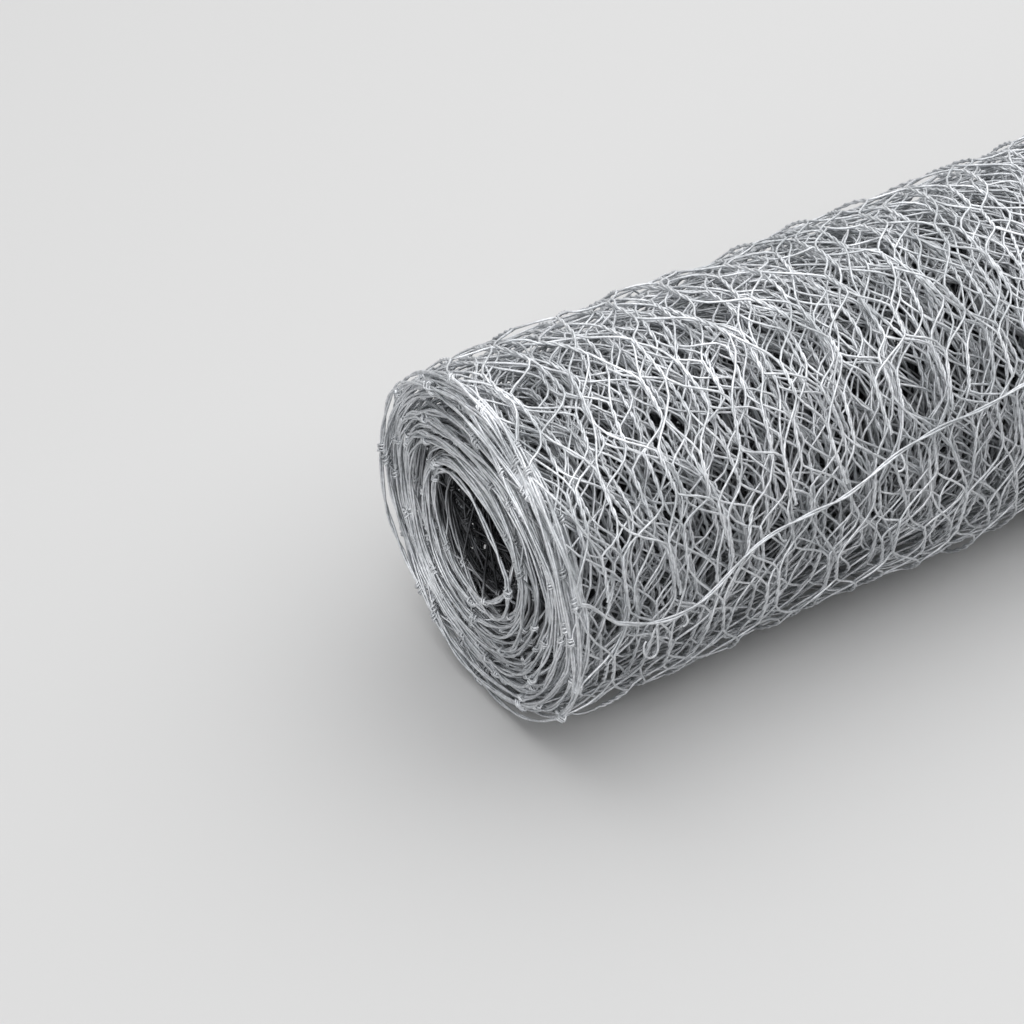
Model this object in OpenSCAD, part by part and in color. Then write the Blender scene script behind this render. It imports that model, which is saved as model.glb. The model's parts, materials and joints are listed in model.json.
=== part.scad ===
// Roll of galvanised hexagonal wire netting, lying on its side.
// X runs along the roll's axis, Z is up, and the origin is on the floor under the middle of the roll.

/* [Roll] */
// Width of the netting, which is the length of the roll
roll_w = 500; // [300:10:1200]
// Outside diameter of the roll
roll_d = 200; // [140:1:300]
// Diameter of the open bore that the innermost turn leaves
bore_d = 72; // [40:1:100]

/* [Turns] */
// Distance aimed at from one bunch of turns to the next, rounded to fill the wall with whole bunches
bunch_pitch = 4; // [3.4:0.1:8]
// Diameter of one netting wire
wire_d = 1.3; // [0.6:0.05:1.4]
// Depth of the gap between two bunches, as it shows on each end
gap_depth = 4; // [1:0.5:10]

/* [Hidden] */
$fn = 96;

// Wires that are twisted together along the edge of the netting
selvedge_wires = 2;
// Thickness of a bunch at its edge, where its nested turns end in twisted cords
bunch_t = selvedge_wires * wire_d;
roll_r = roll_d / 2;
bore_r = bore_d / 2;
wall_t = roll_r - bore_r;
gap_count = max(1, round((wall_t - bunch_t) / bunch_pitch));
fitted_pitch = (wall_t - bunch_t) / gap_count;

// Radius at which a bunch of turns begins, counted from the innermost one
function bunch_start_r(bunch) = bore_r + bunch * fitted_pitch;

// One end of the section from the bore outwards: flat bunches with a V-shaped gap after each
function end_outline(face_x, inwards) = [
    for (bunch = [0:gap_count]) each concat(
        [
            [bunch_start_r(bunch), face_x],
            [bunch_start_r(bunch) + bunch_t, face_x]
        ],
        bunch < gap_count
            ? [[(bunch_start_r(bunch) + bunch_t + bunch_start_r(bunch + 1)) / 2, face_x + inwards * gap_depth]]
            : []
    )
];

function reversed(points) = [for (i = [len(points) - 1:-1:0]) points[i]];

// Half section of the roll, with the radius along X and the roll's axis along Y
module roll_section() {
    polygon(concat(end_outline(-roll_w / 2, 1), reversed(end_outline(roll_w / 2, -1))));
}

// The rolled netting, turned about its axis and laid down on the floor
module netting_roll() {
    color("silver")
        translate([0, 0, roll_r])
            rotate([0, 90, 0])
                rotate_extrude()
                    roll_section();
}

netting_roll();
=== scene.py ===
"""Looks of a lying roll of galvanised hexagonal wire netting, with every wire of the rolled-up sheet.

The netting is laid out flat first: u runs along its length from the bore to the free end, v runs across its
width, and h stands out of the sheet, all in metres. Then it is wound up about the roll's axis, which is X.
Angles around the roll count from +Y, with 90 degrees at its top.
"""

import json
import math

import bmesh
import bpy
import numpy as np
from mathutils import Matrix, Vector


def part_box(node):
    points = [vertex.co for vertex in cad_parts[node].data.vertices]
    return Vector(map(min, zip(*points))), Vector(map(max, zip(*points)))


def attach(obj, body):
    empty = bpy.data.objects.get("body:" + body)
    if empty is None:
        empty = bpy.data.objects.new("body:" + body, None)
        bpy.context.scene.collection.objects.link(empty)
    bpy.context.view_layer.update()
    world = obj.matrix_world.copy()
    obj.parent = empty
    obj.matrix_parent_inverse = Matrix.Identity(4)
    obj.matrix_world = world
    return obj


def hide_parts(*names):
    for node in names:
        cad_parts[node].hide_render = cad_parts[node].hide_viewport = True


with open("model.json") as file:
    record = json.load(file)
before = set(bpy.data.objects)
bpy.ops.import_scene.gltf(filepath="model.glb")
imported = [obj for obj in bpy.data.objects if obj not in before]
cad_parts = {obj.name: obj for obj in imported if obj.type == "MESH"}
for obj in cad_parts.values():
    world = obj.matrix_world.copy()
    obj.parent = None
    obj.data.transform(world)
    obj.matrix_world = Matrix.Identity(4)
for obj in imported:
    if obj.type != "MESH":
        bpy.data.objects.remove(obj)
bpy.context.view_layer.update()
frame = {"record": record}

MM = 0.001
rng = np.random.default_rng(52)

# The roll, as the frame has it
low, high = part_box("netting_roll")
mounts = {mount["name"]: mount for mount in frame["record"]["mounts"]}
ROLL_W = high.x - low.x
ROLL_R = (high.z - low.z) / 2
AXIS_Z = (high.z + low.z) / 2
BORE_R = mounts["spindle_bore"]["dims"]["r_mm"] * MM

# The netting, laid out flat: pairs of wires are twisted together along u, and slant to new pairs in between
WIRE_D = 1.3 * MM
MESH = 38 * MM
TWIST_L = 27 * MM
SLANT_L = 19 * MM
ROW = TWIST_L + SLANT_L
COLUMNS = round(2 * ROLL_W / MESH)
COLUMN = ROLL_W / COLUMNS
# How much the cells differ: places and tilts of the twists, shapes of the slants, stretch of the sheet
PLACE_SPREAD = 2.4 * MM
TILT_SPREAD = math.radians(8)
SLANT_CURVE = 0.06
SLANT_BOW = 1.2 * MM
SLANT_RISE = 0.8 * MM
STRETCH = 5 * MM
# Cords of two wires run along all four edges
CORD_WIRES = 2
CORD_LAY = 60 * MM
# At the selvedges the mesh wires are knotted round the cord, and a tight wrap ties every knot
KNOT_R = 1.4 * WIRE_D
KNOT_L = 9 * MM
WRAP_R = 1.5 * WIRE_D
WRAP_L = 4.5 * MM
WRAP_TURNS = 2
WRAP_STEPS = 6

# The spiral: the free end lies on the side of the roll, and the turns near the core lie closer together
TURN_PITCH = 1.062 * MM
WOUND_ANGLE = math.tau * (ROLL_R - BORE_R - WIRE_D) / TURN_PITCH
FREE_END_ANGLE = math.radians(166)
START_ANGLE = FREE_END_ANGLE - WOUND_ANGLE
CORE_TIGHTNESS = 1.25
# No wire's middle comes closer to the floor
FLOOR_CLEARANCE = 0.56 * WIRE_D
# The bore is pressed off centre and out of round, in shares of its radius
BORE_OFFSET_SHARE = 0.2
BORE_OFFSET_ANGLE = math.radians(-26)
BORE_OVAL_SHARE = 0.12
BORE_OVAL_ANGLE = math.radians(35)
# The innermost turns hang into the bore on one side
CAVED = 9 * MM
CAVED_TURNS = 3
CAVED_FADE_TURNS = 0.5
CAVED_ANGLE = math.radians(198)
CAVED_REACH = math.radians(130)
# The outermost turns hang out below the free end
LOOSE = 5 * MM
LOOSE_ANGLE = math.radians(222)
LOOSE_REACH = math.radians(70)
LOOSE_POWER = 12
# Every turn is wavy, and outer ones are lumpy, with so many lumps around the roll at most
LAYER_WAVES = 1.3 * MM
LUMPS = 1.2 * MM
LUMPS_AROUND = 4

# The ends: inner turns are dished in, the last turn is set back, and every edge drifts in, the last one least
DISH = 2 * MM
DISH_POWER = 1.5
SETBACK = 4 * MM
SETBACK_TURNS = 1.2
EDGE_DRIFT = 3.5 * MM
EDGE_DRIFT_POWER = 8
# The selvedges hold the stretch back, bunch the turns together and draw the outer ones in
EDGE_HOLD = 40 * MM
EDGE_HOLD_SHARE = 0.5
BUNCHES = 0.6 * MM
SHOULDER = 1.5 * MM
SHOULDER_W = 10 * MM
SHOULDER_POWER = 3

# The free end: it lifts off the roll, sags near the left end, falls short at its left corner
# and lies back further right
FREE_END_REACH = 160 * MM
FREE_END_LIFT = 3 * MM
SAG = 25 * MM
SAG_PLACE = 54 * MM
SAG_W = 38 * MM
LIE_BACK = 20 * MM
LIE_BACK_START = 100 * MM
LIE_BACK_W = 150 * MM
CORNER_CUT = 14 * MM
CORNER_CUT_W = 22 * MM
# Wire tips at the free end: place across the netting, length, how far they are bent
TIPS = [
    (44 * MM, 30 * MM, math.radians(-225)),
    (61 * MM, 7 * MM, math.radians(-60)),
    (118 * MM, 9 * MM, math.radians(70)),
    (210 * MM, 11 * MM, math.radians(-110)),
    (305 * MM, 14 * MM, math.radians(150)),
    (392 * MM, 10 * MM, math.radians(-80)),
    (455 * MM, 12 * MM, math.radians(120)),
]
TIP_STEPS = 16
TIP_STRAIGHT_SHARE = 0.4
TIP_ARCH = 1 * MM

# Gaps between bunches of turns:
# share of the wall, place around the roll, reach around it, width, depth from the ends
GAPS = [
    (0.73, math.radians(58), math.radians(50), 6 * MM, 30 * MM),
    (0.62, math.radians(213), math.radians(50), 7 * MM, 30 * MM),
    (0.10, math.radians(300), math.radians(80), 5 * MM, 30 * MM),
    (0.42, math.radians(120), math.radians(70), 3 * MM, 30 * MM),
    (0.30, math.radians(250), math.radians(60), 3 * MM, 30 * MM),
]
# Share of the wall over which the turns part at a gap
GAP_SHARE = 0.02
# Smaller gaps all through the wall, which group the turns into ridges
CREASES = 24
CREASE_FIRST_SHARE = 0.04
CREASE_LAST_SHARE = 0.96
CREASE_REACH = math.radians(110)
CREASE_W = 3.5 * MM
CREASE_DEPTH = 35 * MM

# Random waves: how many, and the shortest and longest of them
STRETCH_ALONG_RANGE = (9, 60 * MM, 240 * MM)
STRETCH_ACROSS_RANGE = (9, 60 * MM, 300 * MM)
LAYER_WAVES_RANGE = (9, 35 * MM, 140 * MM)
LUMPS_RANGE = (7, 120 * MM, 400 * MM)
BUNCHES_RANGE = (7, 4 * MM, 9 * MM)
EDGE_DRIFT_RANGE = (9, 120 * MM, 900 * MM)

# The zinc coat's patches and grain
PATCH = 35 * MM
# Zinc grain is finer than this on wire and is drawn coarser to show
GRAIN = 2.5 * MM
# Painted shade: wires keep their own colour down to this depth under the side of the roll, and a painted
# shade darkens them from there to the bore
UNSHADED_DEPTH = 18 * MM
# At the ends the wires keep their own colour down to the first depth, and the painted shade darkens them from
# there to the second
UNSHADED_END_DEPTH = 4.5 * MM
PAINTED_SHADE_END_DEPTH = 13 * MM

FLOOR_HALF_W = 4000 * MM

# Sockets of a Mix node that mixes colours
MIX_SHARE = 0
MIX_FIRST = 6
MIX_SECOND = 7
MIX_RESULT = 2


def ease(t):
    """0 below 0, 1 above 1 and a smooth rise between."""
    t = np.clip(t, 0, 1)
    return t * t * (3 - 2 * t)


def facing(angle, middle, reach):
    """1 at one angle around the roll, and a smooth fall to 0 at a reach to both sides of it."""
    off = np.abs((angle - middle + math.pi) % math.tau - math.pi)
    return ease(1 - off / reach)


def wave_field(count, shortest, longest):
    """A smooth random function of two lengths, with a mean of 0 and an rms of 0.7."""
    length = rng.uniform(shortest, longest, count)
    heading = rng.uniform(0, math.tau, count)
    phase = rng.uniform(0, math.tau, count)
    along = math.tau * np.cos(heading) / length
    across = math.tau * np.sin(heading) / length

    def field(a, b):
        waves = [np.sin(along[i] * a + across[i] * b + phase[i]) for i in range(count)]
        return sum(waves) / math.sqrt(count)

    return field


def lump_field(count, shortest, longest):
    """A smooth random function of a length and of an angle around the roll, where it closes on itself."""
    length = rng.uniform(shortest, longest, count)
    around = rng.integers(-LUMPS_AROUND, LUMPS_AROUND + 1, count)
    phase = rng.uniform(0, math.tau, count)

    def field(x, angle):
        waves = [np.sin(math.tau * x / length[i] + around[i] * angle + phase[i]) for i in range(count)]
        return sum(waves) / math.sqrt(count)

    return field


stretch_along = wave_field(*STRETCH_ALONG_RANGE)
stretch_across = wave_field(*STRETCH_ACROSS_RANGE)
layer_waves = wave_field(*LAYER_WAVES_RANGE)
lumps = lump_field(*LUMPS_RANGE)
bunches = lump_field(*BUNCHES_RANGE)
edge_drift = wave_field(*EDGE_DRIFT_RANGE)

# Every crease has its own place, and from half to all of the reach and width
for crease_share in np.linspace(CREASE_FIRST_SHARE, CREASE_LAST_SHARE, CREASES):
    crease_angle = rng.uniform(0, math.tau)
    crease_reach = CREASE_REACH * rng.uniform(0.5, 1)
    crease_w = CREASE_W * rng.uniform(0.5, 1)
    GAPS.append((crease_share, crease_angle, crease_reach, crease_w, CREASE_DEPTH))


def opened(share, angle, edge):
    """Share of the wall that a turn has reached, with the turns parted at the gaps and crowded elsewhere."""
    parted = 0
    for gap_share, gap_angle, reach, width, depth in GAPS:
        opening = width / (ROLL_R - BORE_R) * facing(angle, gap_angle, reach) * ease(1 - edge / depth)
        parted = parted + opening * (ease((share - gap_share) / GAP_SHARE + 0.5) - share)
    return share + parted


def wound_radius(turned, edge):
    """Radius of the middle of the sheet, by its angle from the inner end and its distance from its edge."""
    angle = turned + START_ANGLE
    offset = BORE_OFFSET_SHARE * np.cos(angle - BORE_OFFSET_ANGLE)
    oval = BORE_OVAL_SHARE * np.cos(2 * (angle - BORE_OVAL_ANGLE))
    inner = BORE_R * (1 + offset + oval)
    outer = ROLL_R - WIRE_D
    return inner + (outer - inner) * opened((turned / WOUND_ANGLE) ** CORE_TIGHTNESS, angle, edge)


# Length of the netting by how far it has turned in radians, up to a little past its free end
PAST_FREE_END = 0.6
TURNED_COUNT = 20000
TURNED_STEPS = np.linspace(0, WOUND_ANGLE + PAST_FREE_END, TURNED_COUNT)
turned_radii = wound_radius(TURNED_STEPS, ROLL_W / 2)
length_steps = (turned_radii[1:] + turned_radii[:-1]) / 2 * np.diff(TURNED_STEPS)
lengths = np.concatenate([[0], np.cumsum(length_steps)])
WOUND_L = np.interp(WOUND_ANGLE, TURNED_STEPS, lengths)
ROWS = int(WOUND_L / ROW)
NETTING_L = ROWS * ROW
INNER_CUT = WOUND_L - NETTING_L


def free_end_shift(v):
    """How far the free end hangs down past a straight line, across the netting."""
    sag = SAG * np.exp(-((v - SAG_PLACE) / SAG_W) ** 2)
    back = LIE_BACK * ease((v - LIE_BACK_START) / LIE_BACK_W)
    corner = CORNER_CUT * ease(1 - v / CORNER_CUT_W)
    return sag - back - corner


def end_inset(u, v, turned):
    """How far the edge of a turn lies in from the end of the roll."""
    share = turned / WOUND_ANGLE
    turns_left = (WOUND_ANGLE - turned) / math.tau
    dish = DISH * np.maximum(1 - share, 0) ** DISH_POWER
    setback = SETBACK * np.exp(-turns_left / SETBACK_TURNS)
    drift = EDGE_DRIFT * np.maximum(1 + edge_drift(u, v), 0) * (2 - np.minimum(share, 1) ** EDGE_DRIFT_POWER)
    return dish + setback + drift


def hang(turned, angle):
    """How far loose turns hang outwards, or, below 0, into the bore."""
    outer = LOOSE * facing(angle, LOOSE_ANGLE, LOOSE_REACH) * (turned / WOUND_ANGLE) ** LOOSE_POWER
    caving = ease((CAVED_TURNS - turned / math.tau) / CAVED_FADE_TURNS)
    return outer - CAVED * facing(angle, CAVED_ANGLE, CAVED_REACH) * caving


def rolled(u, v, h):
    """Places in the scene of points of the flat netting."""
    free = ease((u - NETTING_L + FREE_END_REACH) / FREE_END_REACH)
    u = u + STRETCH * stretch_along(u, v) + free * free_end_shift(v)
    held = EDGE_HOLD_SHARE * ease(1 - np.minimum(v, ROLL_W - v) / EDGE_HOLD)
    across = v - ROLL_W / 2 + (1 - held) * STRETCH * stretch_across(u, v)
    edge = np.maximum(ROLL_W / 2 - np.abs(across), 0)
    turned = np.interp(u + INNER_CUT, lengths, TURNED_STEPS)
    share = turned / WOUND_ANGLE
    angle = turned + START_ANGLE
    radius = wound_radius(turned, edge) + h
    radius = radius + LAYER_WAVES * layer_waves(u, v) + LUMPS * share * lumps(v, angle)
    radius = radius + BUNCHES * bunches(radius, angle) * ease(1 - edge / EDGE_HOLD)
    radius = radius - SHOULDER * share ** SHOULDER_POWER * np.exp(-edge / SHOULDER_W)
    radius = radius + hang(turned, angle) + FREE_END_LIFT * free
    x = across * (1 - 2 * end_inset(u, v, turned) / ROLL_W)
    y = radius * np.cos(angle)
    z = np.maximum(AXIS_Z + radius * np.sin(angle), FLOOR_CLEARANCE)
    return np.stack([x, y, z], axis=-1)


# Twist places by row and column: every one is a little off, and the selvedges hold the outermost columns
twist_u = (np.arange(ROWS)[:, None] + 0.5) * ROW + rng.normal(0, PLACE_SPREAD, (ROWS, COLUMNS + 1))
twist_v = np.arange(COLUMNS + 1) * COLUMN + rng.normal(0, PLACE_SPREAD, (ROWS, COLUMNS + 1))
twist_v[:, 0] = 0
twist_v[:, -1] = ROLL_W
twist_tilt = rng.normal(0, TILT_SPREAD, (ROWS, COLUMNS + 1))
twist_tilt[:, 0] = 0
twist_tilt[:, -1] = 0
slant_rise = rng.normal(0, SLANT_RISE, (COLUMNS, ROWS))
slant_bow = rng.normal(0, SLANT_BOW, (COLUMNS, ROWS))


def twist_lines(first_row, last_row, twist_turns, steps_a_turn):
    """Flat lines of the wires in their twists, or knots at the edges: wires by rows by points by u, v, h."""
    wires = np.arange(COLUMNS)[:, None]
    rows = np.arange(first_row, min(last_row + 1, ROWS))[None, :]
    odd = (wires + rows) % 2
    column = wires + odd
    side = (1 - 2 * odd)[..., None]
    at_edge = (column == 0) | (column == COLUMNS)
    twist_r = np.where(at_edge, KNOT_R, WIRE_D / 2)[..., None]
    twist_l = np.where(at_edge, KNOT_L, TWIST_L)[..., None]
    tilt = twist_tilt[rows, column][..., None]
    t = np.linspace(0, 1, twist_turns * steps_a_turn + 1)
    along = (t - 0.5) * twist_l
    aside = side * twist_r * np.cos(math.tau * twist_turns * t)
    up = side * twist_r * np.sin(math.tau * twist_turns * t)
    u = twist_u[rows, column][..., None] + along * np.cos(tilt) - aside * np.sin(tilt)
    v = twist_v[rows, column][..., None] + along * np.sin(tilt) + aside * np.cos(tilt)
    return np.stack([u, v, up], axis=-1)


def wire_lines(first_row, last_row, twist_turns, steps_a_turn, slant_steps):
    """Flat lines of all the wires from one row to before another: wires by points by u, v, h."""
    twists = twist_lines(first_row, last_row, twist_turns, steps_a_turn)
    start = twists[:, :-1, -1:, :]
    end = twists[:, 1:, :1, :]
    s = np.linspace(0, 1, slant_steps + 1)[1:-1]
    spans = slice(first_row, first_row + start.shape[1])
    rise = slant_rise[:, spans, None] * np.sin(math.pi * s)
    bow = slant_bow[:, spans, None] * np.sin(math.pi * s)
    curved = s - SLANT_CURVE * np.sin(math.tau * s)
    slant_u = start[..., 0] + (end[..., 0] - start[..., 0]) * s + bow
    slant_v = start[..., 1] + (end[..., 1] - start[..., 1]) * curved
    slants = np.stack([slant_u, slant_v, rise], axis=-1)
    lines = np.concatenate([twists[:, :-1], slants], axis=2)
    lines = lines.reshape(COLUMNS, -1, 3)
    tail = twists[:, -1] if last_row >= ROWS else twists[:, -1, :1]
    return np.concatenate([lines, tail], axis=1)


def cord_lines(start, end, steps_a_turn):
    """Flat lines of the wires that are twisted into a cord from one u, v point to another."""
    start = np.array(start)
    run = np.array(end) - start
    cord_l = np.linalg.norm(run)
    sideways = np.array([-run[1], run[0]]) / cord_l
    t = np.linspace(0, 1, int(cord_l / CORD_LAY * steps_a_turn))[:, None]
    lines = []
    for wire in range(CORD_WIRES):
        turn = math.tau * (t * cord_l / CORD_LAY + wire / CORD_WIRES)
        flat = start + run * t + WIRE_D / 2 * np.cos(turn) * sideways
        lines.append(np.column_stack([flat, WIRE_D / 2 * np.sin(turn)]))
    return lines


def selvedge_wraps():
    """Flat lines of the tight wraps that tie the mesh to its selvedges, one at every twist there."""
    lines = []
    t = np.linspace(0, 1, WRAP_STEPS * WRAP_TURNS + 1)
    for column, v in ((0, 0), (COLUMNS, ROLL_W)):
        for row in range(column % 2, ROWS, 2):
            turn = math.tau * WRAP_TURNS * t + rng.uniform(0, math.tau)
            u = twist_u[row, column] + (t - 0.5) * WRAP_L
            lines.append(np.stack([u, v + WRAP_R * np.cos(turn), WRAP_R * np.sin(turn)], axis=-1))
    return lines


def cut_tips():
    """Flat lines of the wire tips that stick out past the free end, straight first and then bent."""
    lines = []
    t = np.linspace(0, 1, TIP_STEPS + 1)
    bent = np.clip((t - TIP_STRAIGHT_SHARE) / (1 - TIP_STRAIGHT_SHARE), 0, 1)
    arch = WIRE_D + TIP_ARCH * 4 * t * (1 - t)
    for v, length, hook in TIPS:
        along = np.cumsum(np.cos(hook * bent)) * length / len(t)
        aside = np.cumsum(np.sin(hook * bent)) * length / len(t)
        lines.append(np.stack([NETTING_L + along, v + aside, arch], axis=-1))
    return lines


def wire_piece(name, flat_lines, finish, roundness=0):
    """One joined mesh of round wires along flat lines that are rolled up."""
    curve = bpy.data.curves.new(name, "CURVE")
    curve.dimensions = "3D"
    # The corners of a wire of few sides stand out a little, so that it covers as much as a round one
    sides = 4 + 2 * roundness
    curve.bevel_depth = WIRE_D / 2 * math.pi / (sides * math.sin(math.pi / sides))
    curve.bevel_resolution = roundness
    curve.use_fill_caps = True
    for line in flat_lines:
        places = rolled(line[:, 0], line[:, 1], line[:, 2])
        spline = curve.splines.new("POLY")
        spline.points.add(len(places) - 1)
        spline.points.foreach_set("co", np.column_stack([places, np.ones(len(places))]).ravel())
    holder = bpy.data.objects.new(name + "_lines", curve)
    mesh = bpy.data.meshes.new_from_object(holder)
    bpy.data.objects.remove(holder)
    mesh.name = name
    mesh.materials.clear()
    mesh.materials.append(finish)
    piece = bpy.data.objects.new(name, mesh)
    bpy.context.scene.collection.objects.link(piece)
    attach(piece, "root")
    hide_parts("netting_roll")


def linear(hex_colour):
    """An sRGB hex colour as linear RGBA."""
    channels = [int(hex_colour[i:i + 2], 16) / 255 for i in (1, 3, 5)]
    return [c / 12.92 if c <= 0.04045 else ((c + 0.055) / 1.055) ** 2.4 for c in channels] + [1]


def add_node(tree, kind, settings=None, inputs=None, links=None):
    """Adds a shader node: its settings, the values of its inputs, and links into its inputs."""
    node = tree.nodes.new(kind)
    for key, value in (settings or {}).items():
        setattr(node, key, value)
    for key, value in (inputs or {}).items():
        node.inputs[key].default_value = value
    for key, output in (links or {}).items():
        tree.links.new(output, node.inputs[key])
    return node


def new_material(name):
    """A material with an empty node tree."""
    material = bpy.data.materials.new(name)
    material.use_nodes = True
    material.node_tree.nodes.clear()
    return material


def unshaded_share(tree, place):
    """0 for wires deep in the roll, which get a painted shade, and 1 for those near its side and its ends."""
    centred = add_node(
        tree, "ShaderNodeVectorMath", {"operation": "SUBTRACT"}, {1: (0, 0, AXIS_Z)}, {0: place},
    ).outputs["Vector"]
    outwards = add_node(
        tree, "ShaderNodeVectorMath", {"operation": "MULTIPLY"}, {1: (0, 1, 1)}, {0: centred},
    ).outputs["Vector"]
    radius = add_node(
        tree, "ShaderNodeVectorMath", {"operation": "LENGTH"}, links={0: outwards},
    ).outputs["Value"]
    along = add_node(tree, "ShaderNodeSeparateXYZ", links={0: centred}).outputs["X"]
    from_middle = add_node(tree, "ShaderNodeMath", {"operation": "ABSOLUTE"}, links={0: along}).outputs[0]
    near_side = add_node(
        tree, "ShaderNodeMapRange", {"interpolation_type": "SMOOTHSTEP"},
        {"From Min": BORE_R, "From Max": ROLL_R - UNSHADED_DEPTH}, {"Value": radius},
    ).outputs["Result"]
    near_end = add_node(
        tree, "ShaderNodeMapRange", {"interpolation_type": "SMOOTHSTEP"},
        {"From Min": ROLL_W / 2 - PAINTED_SHADE_END_DEPTH, "From Max": ROLL_W / 2 - UNSHADED_END_DEPTH},
        {"Value": from_middle},
    ).outputs["Result"]
    return add_node(
        tree, "ShaderNodeMath", {"operation": "MAXIMUM"}, links={0: near_side, 1: near_end},
    ).outputs[0]


def galvanised_steel():
    """Drawn steel wire with a hot-dip zinc coat: satin grey, cloudy with dull patches, finely frosted, and
    darkened by a painted shade deep in the roll and near its ends.
    """
    material = new_material("galvanised_steel")
    tree = material.node_tree
    place = add_node(tree, "ShaderNodeTexCoord").outputs["Object"]
    patches = add_node(
        tree, "ShaderNodeTexNoise",
        inputs={"Scale": 1 / PATCH, "Detail": 3, "Roughness": 0.6}, links={"Vector": place},
    ).outputs["Fac"]
    grain = add_node(
        tree, "ShaderNodeTexNoise",
        inputs={"Scale": 1 / GRAIN, "Detail": 2}, links={"Vector": place},
    ).outputs["Fac"]
    dullness = add_node(
        tree, "ShaderNodeMapRange", {"interpolation_type": "SMOOTHSTEP"},
        {"From Min": 0.35, "From Max": 0.7}, {"Value": patches},
    ).outputs["Result"]
    clouded = add_node(
        tree, "ShaderNodeMix", {"data_type": "RGBA"},
        {MIX_FIRST: linear("#dcdee1"), MIX_SECOND: linear("#bec1c4")}, {MIX_SHARE: dullness},
    ).outputs[MIX_RESULT]
    # Painted shade: a dark grey is mixed in deep in the roll and a little way in from its ends, where the
    # wires lie in shade
    painted_shade_mixed = add_node(
        tree, "ShaderNodeMix", {"data_type": "RGBA"},
        {MIX_FIRST: linear("#5a5b5e")}, {MIX_SHARE: unshaded_share(tree, place), MIX_SECOND: clouded},
    ).outputs[MIX_RESULT]
    frosted = add_node(
        tree, "ShaderNodeMapRange", inputs={"From Min": 0.3, "From Max": 0.7, "To Min": 0.8, "To Max": 1.12},
        links={"Value": grain},
    ).outputs["Result"]
    colour = add_node(
        tree, "ShaderNodeMix", {"data_type": "RGBA", "blend_type": "MULTIPLY"},
        {MIX_SHARE: 1}, {MIX_FIRST: painted_shade_mixed, MIX_SECOND: frosted},
    ).outputs[MIX_RESULT]
    roughness = add_node(
        tree, "ShaderNodeMapRange", inputs={"From Min": 0.3, "From Max": 0.7, "To Min": 0.52, "To Max": 0.7},
        links={"Value": patches},
    ).outputs["Result"]
    shader = add_node(
        tree, "ShaderNodeBsdfPrincipled", inputs={"Metallic": 1},
        links={"Base Color": colour, "Roughness": roughness},
    )
    add_node(tree, "ShaderNodeOutputMaterial", links={"Surface": shader.outputs["BSDF"]})
    return material


def make_netting():
    """All the netting: mesh wires in bands of rows, cords along the four edges, wraps and wire tips."""
    finish = galvanised_steel()
    # Name, share of the rows where it ends, turns in a twist, steps in a turn, steps in a slant, roundness
    bands = [
        ("inner_turns", 0.45, 1, 2, 1, 0),
        ("middle_turns", 0.66, 1, 4, 2, 0),
        ("upper_turns", 0.79, 2, 3, 3, 0),
        ("under_turns", 0.91, 2, 4, 4, 0),
        ("outer_turns", 1.00, 2, 4, 4, 1),
    ]
    first = 0
    for name, share, twist_turns, steps_a_turn, slant_steps, roundness in bands:
        last = round(ROWS * share)
        wire_piece(name, wire_lines(first, last, twist_turns, steps_a_turn, slant_steps), finish, roundness)
        first = last
    for name, v in (("left_selvedge", 0), ("right_selvedge", ROLL_W)):
        wire_piece(name, cord_lines((0, v), (NETTING_L, v), steps_a_turn=8), finish, roundness=1)
    for name, u in (("inner_cut_edge", 0), ("free_end", NETTING_L)):
        wire_piece(name, cord_lines((u, 0), (u, ROLL_W), steps_a_turn=12), finish, roundness=1)
    wire_piece("selvedge_wraps", selvedge_wraps(), finish)
    wire_piece("cut_tips", cut_tips(), finish, roundness=1)


def make_floor():
    """Plain pale floor."""
    shape = bmesh.new()
    bmesh.ops.create_grid(shape, x_segments=1, y_segments=1, size=FLOOR_HALF_W)
    mesh = bpy.data.meshes.new("floor")
    shape.to_mesh(mesh)
    shape.free()
    floor = bpy.data.objects.new("floor", mesh)
    bpy.context.scene.collection.objects.link(floor)
    material = new_material("pale_floor")
    shader = add_node(
        material.node_tree, "ShaderNodeBsdfPrincipled",
        inputs={"Base Color": linear("#c8c8c8"), "Roughness": 0.8},
    )
    add_node(material.node_tree, "ShaderNodeOutputMaterial", links={"Surface": shader.outputs["BSDF"]})
    mesh.materials.append(material)


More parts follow.
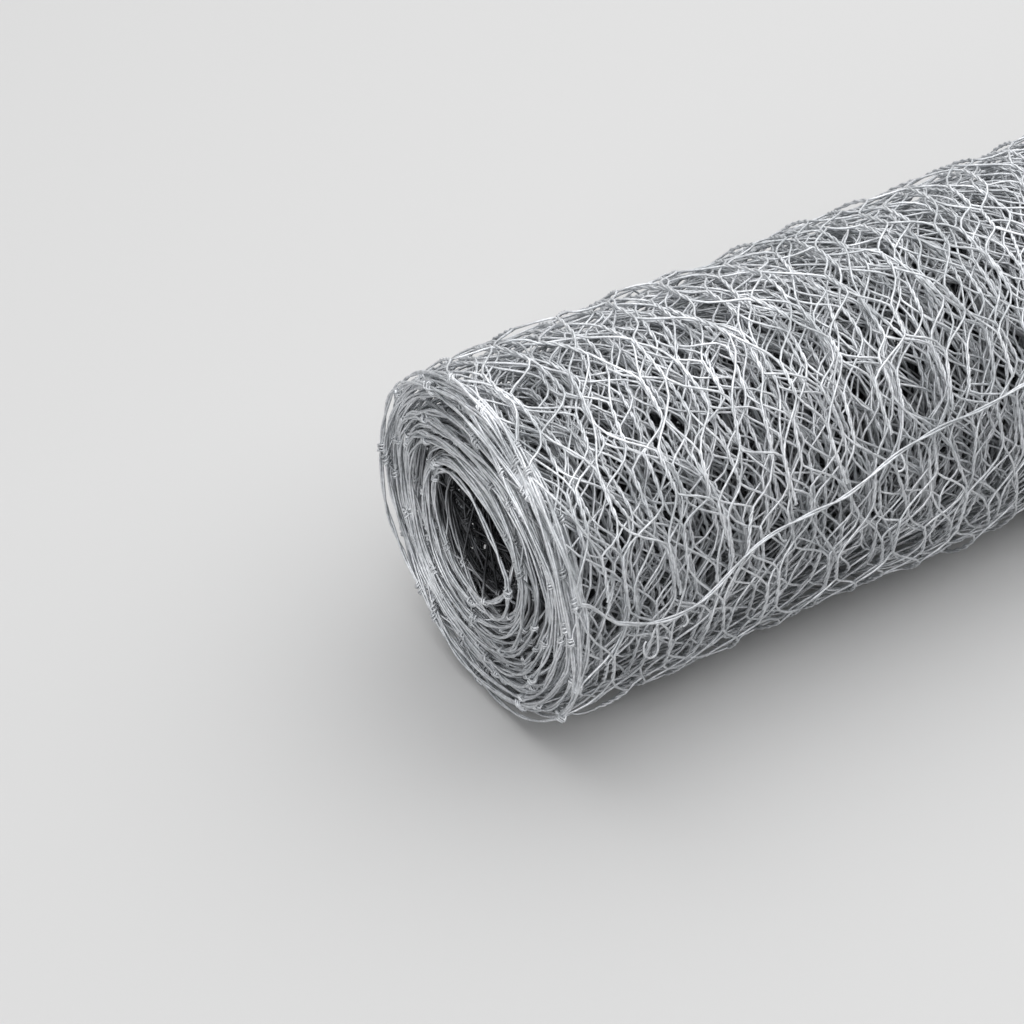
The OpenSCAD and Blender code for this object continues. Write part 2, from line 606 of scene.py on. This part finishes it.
def make_background():
    """Pale surroundings, which light the roll less than they show to the camera and in reflections."""
    world = bpy.data.worlds.new("studio")
    bpy.context.scene.world = world
    world.use_nodes = True
    tree = world.node_tree
    tree.nodes.clear()
    path = add_node(tree, "ShaderNodeLightPath")
    seen = add_node(
        tree, "ShaderNodeMath", {"operation": "MAXIMUM"},
        links={0: path.outputs["Is Camera Ray"], 1: path.outputs["Is Glossy Ray"]},
    )
    seen = add_node(
        tree, "ShaderNodeMath", {"operation": "MAXIMUM"},
        links={0: seen.outputs[0], 1: path.outputs["Is Transmission Ray"]},
    )
    strength = add_node(
        tree, "ShaderNodeMapRange", inputs={"To Min": 0.1, "To Max": 0.5}, links={"Value": seen.outputs[0]},
    )
    white = add_node(
        tree, "ShaderNodeBackground",
        inputs={"Color": (1, 1, 1, 1)}, links={"Strength": strength.outputs["Result"]},
    )
    add_node(tree, "ShaderNodeOutputWorld", links={"Surface": white.outputs["Background"]})


def add_lamp(name, place, size, power):
    """A soft round lamp that faces the roll, with its size in metres and its power in watts."""
    lamp = bpy.data.lights.new(name, "AREA")
    lamp.shape = "DISK"
    lamp.size = size
    lamp.energy = power
    holder = bpy.data.objects.new(name, lamp)
    holder.location = place
    aim = Vector((0, 0, AXIS_Z)) - holder.location
    holder.rotation_euler = aim.to_track_quat("-Z", "Y").to_euler()
    bpy.context.scene.collection.objects.link(holder)


def make_lamps():
    """A large soft lamp above the roll and a smaller one on the side of its left end."""
    add_lamp("top_lamp", place=(0.5, 0.2, 2), size=5, power=112)
    add_lamp("end_lamp", place=(-2.6, -1.2, 1.4), size=1.5, power=34)


def make_camera():
    """The camera where the photograph was taken from."""
    camera = bpy.data.cameras.new("camera")
    camera.sensor_fit = "HORIZONTAL"
    camera.sensor_width = 36
    camera.lens = 118.55
    holder = bpy.data.objects.new("camera", camera)
    tilt_down = math.radians(41.23)
    turn_right = math.radians(31.96)
    holder.location = (-0.9355, -1.1377, 1.2898)
    holder.rotation_euler = (math.pi / 2 - tilt_down, 0, -turn_right)
    bpy.context.scene.collection.objects.link(holder)
    bpy.context.scene.camera = holder


make_camera()
make_netting()
make_floor()
make_background()
make_lamps()
bpy.context.scene.view_settings.view_transform = "Standard"
